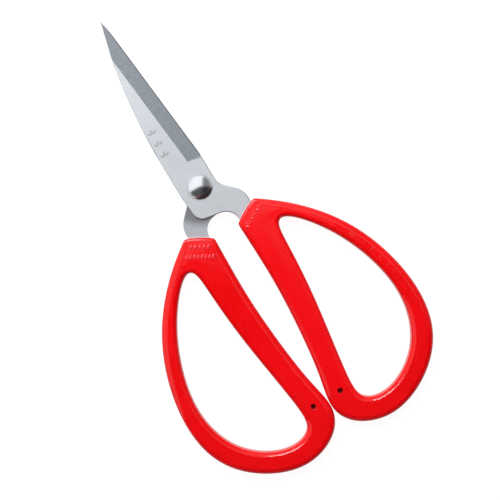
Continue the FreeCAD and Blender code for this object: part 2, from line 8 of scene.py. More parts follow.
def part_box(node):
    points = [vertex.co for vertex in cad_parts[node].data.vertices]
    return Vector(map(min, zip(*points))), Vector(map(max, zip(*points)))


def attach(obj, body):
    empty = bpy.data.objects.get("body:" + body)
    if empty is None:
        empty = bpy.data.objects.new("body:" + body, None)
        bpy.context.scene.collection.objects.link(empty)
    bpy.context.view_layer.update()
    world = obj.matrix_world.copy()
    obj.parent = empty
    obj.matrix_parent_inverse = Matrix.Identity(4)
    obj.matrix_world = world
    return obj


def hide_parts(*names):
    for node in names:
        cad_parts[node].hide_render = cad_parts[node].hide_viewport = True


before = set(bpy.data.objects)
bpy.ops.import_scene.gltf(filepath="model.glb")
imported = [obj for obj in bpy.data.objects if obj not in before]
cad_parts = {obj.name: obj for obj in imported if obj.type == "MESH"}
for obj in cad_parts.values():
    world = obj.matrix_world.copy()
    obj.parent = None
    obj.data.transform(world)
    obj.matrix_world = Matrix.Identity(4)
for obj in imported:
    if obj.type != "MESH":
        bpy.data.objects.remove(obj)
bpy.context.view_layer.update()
scene = bpy.context.scene


# =============================================================================================
# Camera: straight above the snips as they lie flat, turned so that the tips point up to the left.
# =============================================================================================

MM = 0.001
ROLL = math.radians(31)
AIM = Vector((3.8, -28.7, 4.5)) * MM
CAMERA_HEIGHT = 650 * MM
FIELD_WIDTH = 179.25 * MM

camera_data = bpy.data.cameras.new("camera")
camera_data.lens = camera_data.sensor_width * CAMERA_HEIGHT / FIELD_WIDTH
camera = bpy.data.objects.new("camera", camera_data)
camera.location = AIM + Vector((0, 0, CAMERA_HEIGHT))
camera.rotation_euler = (0, 0, -ROLL)
scene.collection.objects.link(camera)
scene.camera = camera

# Directions on the table: towards the far side of the table, and to the right of it.
FAR = Vector((math.sin(ROLL), math.cos(ROLL), 0))
RIGHT = Vector((math.cos(ROLL), -math.sin(ROLL), 0))


# =============================================================================================
# Table: a flat white light table, matt and evenly lit, that the snips lie on. It isn't part of
# them.
# =============================================================================================

def new_material(name):
    """A material with its nodes on, its node tree and its Principled BSDF."""
    material = bpy.data.materials.new(name)
    material.use_nodes = True
    tree = material.node_tree
    return material, tree, tree.nodes["Principled BSDF"]


def link(tree, source, target):
    tree.links.new(source, target)


def between(tree, share, first, second):
    """A value that goes from the first to the second as a share goes from 0 to 1."""
    node = tree.nodes.new("ShaderNodeMix")
    for title, item in (("Factor", share), ("A", first), ("B", second)):
        if isinstance(item, bpy.types.NodeSocket):
            link(tree, item, node.inputs[title])
        else:
            node.inputs[title].default_value = item
    return node.outputs["Result"]


TABLE_SIZE = 6.0
TABLE_GREY = (0.12, 0.12, 0.12, 1)
TABLE_GLOW = 0.95
TABLE_GLOW_IN_GLOSS = 0.6

table_mesh = bpy.data.meshes.new("table")
half = TABLE_SIZE / 2
table_mesh.from_pydata([(-half, -half, 0), (half, -half, 0), (half, half, 0), (-half, half, 0)],
                       [], [(0, 1, 2, 3)])
table = bpy.data.objects.new("table", table_mesh)
scene.collection.objects.link(table)

table_white, table_tree, table_shader = new_material("table_white")
table_shader.inputs["Base Color"].default_value = TABLE_GREY
table_shader.inputs["Roughness"].default_value = 0.95
table_shader.inputs["Specular IOR Level"].default_value = 0.0
table_shader.inputs["Emission Color"].default_value = (1, 1, 1, 1)
in_gloss = table_tree.nodes.new("ShaderNodeLightPath").outputs["Is Glossy Ray"]
table_glow = between(table_tree, in_gloss, TABLE_GLOW, TABLE_GLOW_IN_GLOSS)
link(table_tree, table_glow, table_shader.inputs["Emission Strength"])
table_mesh.materials.append(table_white)


# =============================================================================================
# Light: a pale room, brightest above the far left of the table and dim towards the near side, two
# soft boxes that only light the colours, and one that only shows in the glossy grips.
# =============================================================================================

scene.view_settings.view_transform = "Standard"
scene.view_settings.look = "None"


def maths(tree, operation, *values):
    """A Math node; each value is a number or another node's output."""
    node = tree.nodes.new("ShaderNodeMath")
    node.operation = operation
    for socket, item in zip(node.inputs, values):
        if isinstance(item, (int, float)):
            socket.default_value = item
        else:
            link(tree, item, socket)
    return node.outputs[0]


def ramp(tree, amount, low, high, bottom=0.0, top=1.0):
    """A smooth step of a value, from bottom at low to top at high."""
    node = tree.nodes.new("ShaderNodeMapRange")
    node.interpolation_type = "SMOOTHSTEP"
    link(tree, amount, node.inputs["Value"])
    node.inputs["From Min"].default_value = low
    node.inputs["From Max"].default_value = high
    node.inputs["To Min"].default_value = bottom
    node.inputs["To Max"].default_value = top
    return node.outputs["Result"]


def along(tree, vector, direction):
    """How far a vector goes in a direction."""
    node = tree.nodes.new("ShaderNodeVectorMath")
    node.operation = "DOT_PRODUCT"
    link(tree, vector, node.inputs[0])
    node.inputs[1].default_value = direction
    return node.outputs["Value"]


ROOM_FAR = 1.3
ROOM_NEAR = 0.1
ROOM_CUTTING_SIDE = 0.22
ROOM_TO_VIEW = 0.9
ROOM_ON_COLOURS = 0.35
ROOM_COLOUR = (0.95, 0.975, 1.0, 1)
LEFT_LEAN = 0.6

room = bpy.data.worlds.new("pale_room")
scene.world = room
room.use_nodes = True
sky = room.node_tree
way = sky.nodes.new("ShaderNodeTexCoord").outputs["Generated"]
leftward = maths(sky, "MAXIMUM", along(sky, way, -RIGHT), 0.0)
depth = maths(sky, "ADD", along(sky, way, FAR), maths(sky, "MULTIPLY", leftward, LEFT_LEAN))
far_share = ramp(sky, depth, -0.01, 0.06, ROOM_NEAR, ROOM_FAR)
side_share = ramp(sky, along(sky, way, RIGHT), 0.2, 0.48, 1.0, ROOM_CUTTING_SIDE)
room_glow = maths(sky, "MULTIPLY", far_share, side_share)
rays = sky.nodes.new("ShaderNodeLightPath").outputs
kept_share = between(sky, rays["Is Diffuse Ray"], 1.0, ROOM_ON_COLOURS)
lighting = maths(sky, "MULTIPLY", room_glow, kept_share)
level = between(sky, rays["Is Camera Ray"], lighting, ROOM_TO_VIEW)
sky.nodes["Background"].inputs["Color"].default_value = ROOM_COLOUR
link(sky, level, sky.nodes["Background"].inputs["Strength"])

glossy_pieces = bpy.data.collections.new("glossy_pieces")


def soft_box(name, far, right, up, size, watts, shows=False):
    """A square soft box aimed at the snips: it lights the colours, or only shows in the grips."""
    light = bpy.data.lights.new(name, "AREA")
    light.size = size
    light.energy = watts
    lamp = bpy.data.objects.new(name, light)
    place = FAR * far + RIGHT * right + Vector((0, 0, up))
    lamp.location = AIM + place
    facing = place.normalized()
    across = facing.cross(RIGHT.cross(facing)).normalized()
    lamp.rotation_euler = Matrix((across, facing.cross(across), facing)).transposed().to_euler()
    lamp.visible_glossy = shows
    lamp.visible_diffuse = not shows
    if shows:
        lamp.light_linking.receiver_collection = glossy_pieces
    scene.collection.objects.link(lamp)


soft_box("far_box", far=0.28, right=-0.1, up=0.5, size=0.35, watts=3.5)
soft_box("near_box", far=-0.5, right=0.3, up=0.9, size=0.7, watts=0.5)
soft_box("gloss_box", far=0.42, right=-0.22, up=0.9, size=0.45, watts=11.0, shows=True)


# =============================================================================================
# Front blade: stamped from 2.2 mm stainless sheet in one piece with its neck and tang. Its face is
# satin polished, and its cutting side is ground flat and then honed.
# =============================================================================================

def new_group(name, inputs, outputs):
    """A shader node group with named inputs (kind, name, value) and outputs (kind, name)."""
    group = bpy.data.node_groups.new(name, "ShaderNodeTree")
    for kind, title, number in inputs:
        socket = group.interface.new_socket(title, in_out="INPUT", socket_type=f"NodeSocket{kind}")
        socket.default_value = number
    for kind, title in outputs:
        group.interface.new_socket(title, in_out="OUTPUT", socket_type=f"NodeSocket{kind}")
    return group, group.nodes.new("NodeGroupInput").outputs, group.nodes.new("NodeGroupOutput").inputs


def placed(tree, group, **values):
    """A group's node in a material, with its own values."""
    node = tree.nodes.new("ShaderNodeGroup")
    node.node_tree = group
    for title, item in values.items():
        socket = node.inputs[title.replace("_", " ")]
        if isinstance(item, bpy.types.NodeSocket):
            link(tree, item, socket)
        else:
            socket.default_value = item
    return node.outputs


def noise(tree, vector, scale, detail=2.0, roughness=0.5):
    node = tree.nodes.new("ShaderNodeTexNoise")
    node.inputs["Scale"].default_value = scale
    node.inputs["Detail"].default_value = detail
    node.inputs["Roughness"].default_value = roughness
    link(tree, vector, node.inputs["Vector"])
    return node.outputs["Fac"]


def stretched(tree, vector, angle, scale):
    """Coordinates turned about +Z by an angle and then stretched along each axis."""
    turn = tree.nodes.new("ShaderNodeMapping")
    turn.vector_type = "TEXTURE"
    turn.inputs["Rotation"].default_value = (0, 0, angle)
    link(tree, vector, turn.inputs["Vector"])
    pull = tree.nodes.new("ShaderNodeMapping")
    pull.inputs["Scale"].default_value = scale
    link(tree, turn.outputs["Vector"], pull.inputs["Vector"])
    return pull.outputs["Vector"]


def mixed(tree, factor, first, second):
    """Two colours mixed by a factor; each is a colour or another node's output."""
    node = tree.nodes.new("ShaderNodeMix")
    node.data_type = "RGBA"
    sockets = [s for s in node.inputs if s.enabled]
    for socket, item in zip(sockets, (factor, first, second)):
        if isinstance(item, bpy.types.NodeSocket):
            link(tree, item, socket)
        else:
            socket.default_value = item if isinstance(item, float) else (*item, 1)
    return next(s for s in node.outputs if s.enabled)


def bumped(tree, height, depth, normal=None):
    node = tree.nodes.new("ShaderNodeBump")
    node.inputs["Strength"].default_value = 1.0
    node.inputs["Distance"].default_value = depth
    link(tree, height, node.inputs["Height"])
    if normal is not None:
        link(tree, normal, node.inputs["Normal"])
    return node.outputs["Normal"]


# Fine parallel lines left by a wheel or a belt: short streaks across a direction.
GRAIN_LAYERS = 400.0
BAND_SCALE = 0.14

grain_group, given, out = new_group(
    "grain", [("Vector", "Place", (0, 0, 0)), ("Float", "Fineness", 9000.0),
              ("Float", "Length", 0.03)], [("Float", "Lines"), ("Float", "Bands")])
lines_place = grain_group.nodes.new("ShaderNodeCombineXYZ")
split = grain_group.nodes.new("ShaderNodeSeparateXYZ")
link(grain_group, given["Place"], split.inputs[0])
link(grain_group, maths(grain_group, "MULTIPLY", split.outputs["X"],
                        maths(grain_group, "MULTIPLY", given["Fineness"], given["Length"])),
     lines_place.inputs["X"])
link(grain_group, maths(grain_group, "MULTIPLY", split.outputs["Y"], given["Fineness"]),
     lines_place.inputs["Y"])
link(grain_group, maths(grain_group, "MULTIPLY", split.outputs["Z"], GRAIN_LAYERS),
     lines_place.inputs["Z"])
link(grain_group, noise(grain_group, lines_place.outputs[0], 1.0, 3.0, 0.6), out["Lines"])
link(grain_group, noise(grain_group, lines_place.outputs[0], BAND_SCALE, 2.0, 0.5), out["Bands"])

# Smudges and hairline scratches that handling leaves on a polished face. Each set of scratches has
# an angle and a fineness.
SMUDGE_SCALE = 70.0
SCRATCH_SETS = [(0.5, 900.0), (1.35, 1100.0), (2.4, 760.0)]
SCRATCH_STRETCH = 0.05

handling_group, given, out = new_group(
    "handling", [("Vector", "Place", (0, 0, 0)), ("Float", "Scale", 1.0)],
    [("Float", "Smudge"), ("Float", "Scratch")])
scaled = handling_group.nodes.new("ShaderNodeVectorMath")
scaled.operation = "SCALE"
link(handling_group, given["Place"], scaled.inputs[0])
link(handling_group, given["Scale"], scaled.inputs["Scale"])
smudges = noise(handling_group, scaled.outputs[0], SMUDGE_SCALE, 4.0, 0.6)
link(handling_group, ramp(handling_group, smudges, 0.42, 0.68), out["Smudge"])
scratches = None
for angle, spread in SCRATCH_SETS:
    place = stretched(handling_group, scaled.outputs[0], angle, (spread * SCRATCH_STRETCH, spread, 1.0))
    hairs = ramp(handling_group, noise(handling_group, place, 1.0, 1.0, 0.5), 0.71, 0.76)
    scratches = hairs if scratches is None else maths(handling_group, "MAXIMUM", scratches, hairs)
link(handling_group, scratches, out["Scratch"])

# Where a face leans away from the piece's flat front and back: 0 on the flats, 1 at upright walls.
lean_group, given, out = new_group(
    "lean", [("Float", "From", 0.1), ("Float", "To", 0.6)], [("Float", "Lean"), ("Float", "Upright")])
facing = lean_group.nodes.new("ShaderNodeTexCoord").outputs["Normal"]
upright = maths(lean_group, "ABSOLUTE", along(lean_group, facing, (0, 0, 1)))
leaning = maths(lean_group, "SUBTRACT", 1.0, upright)
share = lean_group.nodes.new("ShaderNodeMapRange")
link(lean_group, leaning, share.inputs["Value"])
link(lean_group, given["From"], share.inputs["From Min"])
link(lean_group, given["To"], share.inputs["From Max"])
link(lean_group, share.outputs["Result"], out["Lean"])
link(lean_group, upright, out["Upright"])

BLADE_THICKNESS = 2.2 * MM
BEVEL_WIDTH = 5.3 * MM
EDGE_LAND = 0.35 * MM
EDGE_INSET = (6.15 - 1.35) * MM
EDGE_LENGTH = (69.0 - 9.0 - 10.4) * MM
ETCH_DEPTH = 0.1 * MM
GRIND_RIDGES = 0.006 * MM

BEVEL_UPRIGHT = math.cos(math.atan2(BLADE_THICKNESS - EDGE_LAND, BEVEL_WIDTH))
EDGE_LEAN = math.atan2(EDGE_INSET, EDGE_LENGTH)
POLISH_ANGLE = math.radians(86)
FACE_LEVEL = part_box("front_blade")[1].z

FRONT_STEEL = (0.76, 0.775, 0.80)
GROUND_DARK = (0.46, 0.49, 0.54)
GROUND_PALE = (0.61, 0.645, 0.695)
WALL_SHADE_GREY = (0.30, 0.30, 0.31)
HONED_EDGE_SHADE = (0.10, 0.10, 0.11)
ETCHED_GREY = (0.52, 0.53, 0.55)
SCRATCH_WHITE = (0.95, 0.95, 0.96)


def blade_steel(name, side, flat_colour, etched, heel_shadowed):
    """Satin stainless with a cross-ground bevel; side is +1 for an edge towards +X.

    Etched steel has dull sprigs sunk in its face. The rear blade's steel gets a painted shadow, a grey
    ring round the pivot, where the other blade's heel lies over it.
    """
    material, tree, shader = new_material(name)
    place = tree.nodes.new("ShaderNodeTexCoord").outputs["Object"]
    lean = placed(tree, lean_group, From=0.15, To=0.7)
    off_bevel = maths(tree, "ABSOLUTE", maths(tree, "SUBTRACT", lean["Upright"], BEVEL_UPRIGHT))
    bevel = ramp(tree, off_bevel, 0.012, 0.03, 1.0, 0.0)

    polish = placed(tree, grain_group, Place=stretched(tree, place, POLISH_ANGLE, (1, 1, 1)),
                    Fineness=5200.0, Length=0.02)
    grind = placed(tree, grain_group, Place=stretched(tree, place, side * EDGE_LEAN, (1, 1, 1)),
                   Fineness=8500.0, Length=0.09)
    handling = placed(tree, handling_group, Place=place, Scale=1.0)

    flat = mixed(tree, ramp(tree, polish["Bands"], 0.3, 0.7),
                 [c * 0.985 for c in flat_colour], [min(c * 1.012, 1) for c in flat_colour])
    flat = mixed(tree, maths(tree, "MULTIPLY", handling["Scratch"], 0.25), flat, SCRATCH_WHITE)
    ground = mixed(tree, ramp(tree, grind["Lines"], 0.3, 0.7), GROUND_DARK, GROUND_PALE)
    colour = mixed(tree, bevel, flat, ground)
    # Painted shade: faces that lean away from the flats, the side walls, are painted dark grey.
    colour = mixed(tree, lean["Lean"], colour, WALL_SHADE_GREY)
    # Painted shade: faces that tilt towards the cutting edge, the honed edge, are painted nearly black.
    facing = tree.nodes.new("ShaderNodeTexCoord").outputs["Normal"]
    to_edge = ramp(tree, along(tree, facing, (side, 0, 0)), 0.4, 0.6)
    colour = mixed(tree, maths(tree, "MULTIPLY", to_edge, ramp(tree, lean["Upright"], 0.3, 0.6)),
                   colour, HONED_EDGE_SHADE)
    if etched:
        level = along(tree, place, (0, 0, 1))
        sunk = ramp(tree, level, FACE_LEVEL - 1.1 * ETCH_DEPTH, FACE_LEVEL - 0.6 * ETCH_DEPTH, 1.0, 0.0)
        above = ramp(tree, level, FACE_LEVEL - 1.6 * ETCH_DEPTH, FACE_LEVEL - 1.3 * ETCH_DEPTH)
        etching = maths(tree, "MULTIPLY", maths(tree, "MULTIPLY", sunk, above),
                        ramp(tree, lean["Upright"], 0.98, 0.999))
        colour = mixed(tree, etching, colour, ETCHED_GREY)
    # Painted shadow of the other blade's heel: a grey ring round the pivot.
    if heel_shadowed:
        radius = tree.nodes.new("ShaderNodeVectorMath")
        radius.operation = "LENGTH"
        link(tree, stretched(tree, place, 0, (1, 1, 0)), radius.inputs[0])
        heel_shadow = ramp(tree, radius.outputs["Value"], HEEL_SHADOW_OUTSIDE, HEEL_SHADOW_INSIDE)
        colour = mixed(tree, maths(tree, "MULTIPLY", heel_shadow, 0.8), colour, HEEL_SHADOW_GREY)
    link(tree, colour, shader.inputs["Base Color"])

    rough = ramp(tree, polish["Lines"], 0.25, 0.75, 0.27, 0.35)
    rough = maths(tree, "ADD", rough, maths(tree, "MULTIPLY", handling["Smudge"], 0.05))
    rough_bevel = ramp(tree, grind["Lines"], 0.3, 0.7, 0.30, 0.42)
    link(tree, between(tree, bevel, rough, rough_bevel), shader.inputs["Roughness"])
    shader.inputs["Metallic"].default_value = 1.0
    ridges = between(tree, bevel, polish["Lines"], grind["Lines"])
    link(tree, bumped(tree, ridges, GRIND_RIDGES), shader.inputs["Normal"])
    return material


def finished(node, material):
    """A piece that keeps its own shape and gets its finish."""
    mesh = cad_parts[node].data
    mesh.materials.clear()
    mesh.materials.append(material)


finished("front_blade", blade_steel("front_blade_steel", 1, FRONT_STEEL, etched=True, heel_shadowed=False))


# =============================================================================================
# Rear blade: the front blade's mirror image without its curved spine, which stays behind the front
# blade when the snips are shut. The same sheet and finish, with painted shade: its steel is painted a
# little darker than the front blade's, and a painted shadow rings the pivot under the front blade's
# heel.
# =============================================================================================

# Painted shade: the same steel as the front blade, painted a little darker.
REAR_STEEL_SHADED = (0.62, 0.64, 0.67)
# A painted shadow of the front blade's heel: its grey, and the radii that it fades out between.
HEEL_SHADOW_GREY = (0.22, 0.215, 0.22)
HEEL_SHADOW_INSIDE = 11.5 * MM
HEEL_SHADOW_OUTSIDE = 15.5 * MM

finished("rear_blade", blade_steel("rear_blade_steel", -1, REAR_STEEL_SHADED, etched=False, heel_shadowed=True))


# =============================================================================================
# Right grip: a finger loop of glossy red plastic moulded over the front blade's tang, with a fine
# parting line round its sides, a pin hole on each face and three small raised sprigs at its end.
# =============================================================================================

HANDLE_REACH = 104.8 * MM
BOW_REACH = 48.3 * MM
GRIP_START = 13.5 * MM
GRIP_INNER_START = 18.6 * MM
GRIP_LENGTH = HANDLE_REACH - GRIP_START
NECK_INNER = 6.15 * MM
NECK_OUTER = 13.15 * MM
GRIP_LAP = 1.2 * MM
CLOSING_GAP = 0.3 * MM
FOOT_BULGE = 1.4 * MM
FOOT_ROUND = 4.2 * MM
LEG_OFFSET = 5.4 * MM
LEG_WIDTH_TOP = 11.6 * MM
LEG_WIDTH_FOOT = 9.6 * MM
WEB_HEIGHT = 10.7 * MM
BOW_WIDTH = 6.65 * MM
FOOT_WIDTH = 8.3 * MM
GRIP_TOP = 9.0 * MM
SIDE_ROUND = 2.2 * MM
HOLE_ROUND = 1.8 * MM
END_ROUND = 0.9 * MM
END_ARCH = 0.45 * MM
END_ROUND_REACH = 0.6 * MM
END_ROUND_EASE = 5 * MM
CORNER_SOFTNESS = 1.5 * MM
CROWN = 0.14 * MM
CROWN_REACH = 5.5 * MM
PARTING_RIDGE = 0.05 * MM
PIN_PLACE = Vector((5.6, -88.2)) * MM
PIN_RADIUS = 0.95 * MM
PIN_DEPTH = 2.0 * MM
LEAF_WIDTH = 0.5
LEAF_SHOULDER = 0.72
LEAF_SHOULDER_RISE = 0.24 * MM
LEAF_CREST = 0.5
LEAF_CREST_RISE = 0.3 * MM

# How finely the skin is divided.
OUTLINE_STEP = 0.45 * MM
OUTLINE_FINENESS = 9
END_STEPS = 60
FILLET_STEPS = 8
LEAF_STEPS = 6
PIN_SIDES = 24
GRID_STEP = 1.1 * MM
GRID_ROW = 0.866

# Levels down a wall, as shares of its height, and whether the parting line stands out there.
WALL_LEVELS = [(0.25, 0), (0.47, 0), (0.485, 1), (0.515, 1), (0.53, 0), (0.75, 0)]

# A pin hole's rings below its lip, as shares of its radius and of its depth.
PIN_LIP = 1.2
PIN_RINGS = [(1.06, 0.04), (1.0, 0.16), (0.98, 1.0)]

OUTER_CORNER = (NECK_OUTER + GRIP_LAP, -GRIP_START)
INNER_CORNER = (NECK_INNER - GRIP_LAP, -GRIP_INNER_START)


def smooth_curve(poles, closed):
    """Points along a cubic curve that is steered by poles."""
    curve = bpy.data.curves.new("guide", "CURVE")
    curve.dimensions = "3D"
    spline = curve.splines.new("NURBS")
    spline.points.add(len(poles) - 1)
    for point, (x, y) in zip(spline.points, poles):
        point.co = (x, y, 0, 1)
    spline.use_cyclic_u = closed
    spline.order_u = 4
    spline.use_endpoint_u = not closed
    spline.resolution_u = 120
    guide = bpy.data.objects.new("guide", curve)
    mesh = bpy.data.meshes.new_from_object(guide)
    points = np.array([vertex.co[:2] for vertex in mesh.vertices])
    bpy.data.objects.remove(guide)
    bpy.data.meshes.remove(mesh)
    bpy.data.curves.remove(curve)
    return points


def evenly(points, step):
    """A closed line's points, set an even step apart."""
    ring = np.vstack([points, points[:1]])
    run = np.concatenate([[0], np.cumsum(np.linalg.norm(np.diff(ring, axis=0), axis=1))])
    stations = np.linspace(0, run[-1], round(run[-1] / step), endpoint=False)
    return np.column_stack([np.interp(stations, run, ring[:, axis]) for axis in (0, 1)])


def softened(points, window):
    """A closed line with its corners eased, each point the mean of a window of its neighbours."""
    return sum(np.roll(points, shift, axis=0) for shift in range(-window, window + 1)) / (2 * window + 1)


def inward(points):
    """Unit normals to the left of a closed line."""
    run = np.roll(points, -1, axis=0) - np.roll(points, 1, axis=0)
    run /= np.linalg.norm(run, axis=1)[:, None]
    return np.column_stack([-run[:, 1], run[:, 0]])


def turned_left(points):
    """A closed line that runs anticlockwise."""
    x, y = points[:, 0], points[:, 1]
    area = np.sum(x * np.roll(y, -1) - np.roll(x, -1) * y)
    return points if area > 0 else points[::-1]


def grip_rim():
    """The outside of the right grip: its bow, foot, leg and slightly arched end."""
    bow = [(0.435, 0.047), (0.686, 0.165), (0.906, 0.356), (1.018, 0.591), (0.976, 0.803),
           (0.734, 0.946), (0.383, 1.021)]
    leg = [(FOOT_ROUND, 0.967), (CLOSING_GAP / 2 - FOOT_BULGE, 0.870), (0.39 * LEG_OFFSET, 0.739),
           (0.78 * LEG_OFFSET, 0.553), (1.07 * LEG_OFFSET, 0.312), (0.96 * LEG_OFFSET, 0.159)]
    places = [(x * BOW_REACH, share) for x, share in bow] + leg
    poles = [(x, -(GRIP_START + share * GRIP_LENGTH)) for x, share in places]
    sides = smooth_curve([OUTER_CORNER] + poles + [INNER_CORNER], False)
    start = np.array(INNER_CORNER)
    run = np.array(OUTER_CORNER) - start
    out = np.array([-run[1], run[0]]) / np.linalg.norm(run)
    shares = np.linspace(0, 1, END_STEPS)[1:-1]
    end = [start + run * t + out * END_ARCH * 4 * t * (1 - t) for t in shares]
    fine = OUTLINE_STEP / OUTLINE_FINENESS
    points = softened(evenly(np.vstack([sides, end]), fine), round(CORNER_SOFTNESS / 2 / fine))
    return turned_left(evenly(points, OUTLINE_STEP))


def finger_hole():
    """The finger hole, as poles across from the leg's side (0) to the bow (1) and down it."""
    top = GRIP_START + WEB_HEIGHT
    depth = HANDLE_REACH - FOOT_WIDTH - top
    leg_top = LEG_OFFSET + LEG_WIDTH_TOP
    leg_foot = CLOSING_GAP / 2 + LEG_WIDTH_FOOT
    bow_side = BOW_REACH - BOW_WIDTH
    poles = []
    for across, share in [(0.002, 0.010), (0.165, -0.010), (0.602, 0.153), (0.913, 0.375),
                          (1.052, 0.642), (0.857, 0.891), (0.381, 1.023), (0.013, 0.988),
                          (-0.024, 0.865), (0.052, 0.400), (0.016, 0.110)]:
        leg_side = leg_top + share * (leg_foot - leg_top)
        poles.append((leg_side + across * (bow_side - leg_side), -(top + share * depth)))
    return turned_left(evenly(smooth_curve(poles, True), OUTLINE_STEP))[::-1]


def rim_rounding(points):
    """The rounding of the rim's edges at each point: small at the end, larger down the sides."""
    start, finish = np.array(INNER_CORNER), np.array(OUTER_CORNER)
    run = finish - start
    share = np.clip((points - start) @ run / (run @ run), 0, 1)
    away = np.linalg.norm(points - (start + share[:, None] * run), axis=1)
    ease = np.clip((away - END_ROUND_REACH) / END_ROUND_EASE, 0, 1)
    return END_ROUND + (SIDE_ROUND - END_ROUND) * ease * ease * (3 - 2 * ease)


def crown_drop(depth):
    """How far a face lies below the grip's full height, at a distance in from its outline."""
    return CROWN * (1 - np.minimum(depth / CROWN_REACH, 1)) ** 2


def inside(polygon, points):
    """Which points lie inside a closed line."""
    x, y = points[:, 0], points[:, 1]
    odd = np.zeros(len(points), bool)
    for (ax, ay), (bx, by) in zip(polygon, np.roll(polygon, -1, axis=0)):
        if ay != by:
            odd ^= ((ay > y) != (by > y)) & (x < (bx - ax) * (y - ay) / (by - ay) + ax)
    return odd


def near_points(points):
    """A finder of the nearest of some points on the flat."""
    finder = kdtree.KDTree(len(points))
    for index, (x, y) in enumerate(points):
        finder.insert((x, y, 0), index)
    finder.balance()
    return finder


def leaf_outline(centre, length, degrees, share=1.0):
    """A pointed leaf, leaning by some degrees from +Y, drawn at a share of its size."""
    lean = math.radians(degrees)
    stem = Vector((-math.sin(lean), math.cos(lean)))
    across = Vector((stem.y, -stem.x))
    points = []
    for side in (1, -1):
        for t in np.linspace(-1, 1, LEAF_STEPS + 1)[:-1]:
            half_width = LEAF_WIDTH / 2 * (1 - t * t)
            points.append(Vector(centre) + stem * (length * share * t * side / 2)
                          + across * (length * share * half_width * side))
    return np.array(points)


class Surface:
    """A mesh that is put together from points with their normals, and faces."""

    def __init__(self):
        self.points, self.normals, self.faces, self.sharp = [], [], [], []

    def add(self, points, normals):
        first = len(self.points)
        self.points.extend(tuple(p) for p in points)
        self.normals.extend(tuple(n) for n in normals)
        return list(range(first, len(self.points)))

    def strip(self, lower, upper):
        """A closed band of quads between two rings of the same number of points."""
        count = len(lower)
        for i in range(count):
            j = (i + 1) % count
            self.faces.append((lower[i], lower[j], upper[j], upper[i]))
            self.sharp.append(False)

    def build(self, name):
        mesh = bpy.data.meshes.new(name)
        mesh.from_pydata(self.points, [], self.faces)
        mesh.polygons.foreach_set("use_smooth", [True] * len(self.faces))
        loop_normals = []
        for polygon, sharp in zip(mesh.polygons, self.sharp):
            for corner in polygon.vertices:
                loop_normals.append(tuple(polygon.normal) if sharp else self.normals[corner])
        mesh.normals_split_custom_set(loop_normals)
        piece = bpy.data.objects.new(name, mesh)
        scene.collection.objects.link(piece)
        return piece


def walls(surface, points, rounding):
    """The band round one outline, from the front face over the side to the back face."""
    normals = inward(points)
    quarter = np.linspace(math.pi / 2, 0, FILLET_STEPS + 1)
    drop = crown_drop(rounding)
    top = GRIP_TOP - drop - rounding
    bottom = drop + rounding
    levels = [(rounding * (1 - math.cos(angle)), top + rounding * math.sin(angle),
               math.cos(angle), math.sin(angle)) for angle in quarter]
    levels += [(-PARTING_RIDGE * stand, top + (bottom - top) * share, 1.0, 0.0)
               for share, stand in WALL_LEVELS]
    levels += [(rounding * (1 - math.cos(angle)), bottom - rounding * math.sin(angle),
                math.cos(angle), -math.sin(angle)) for angle in quarter[::-1]]
    rings = []
    for depth, height, tilt, rise in levels:
        place = points + normals * np.broadcast_to(depth, len(points))[:, None]
        facing = np.column_stack([-normals * tilt, np.full(len(points), rise)])
        rings.append(surface.add(np.column_stack([place, height]), facing))
    for upper, lower in zip(rings[:-1], rings[1:]):
        surface.strip(lower, upper)
    return rings[0], rings[-1]


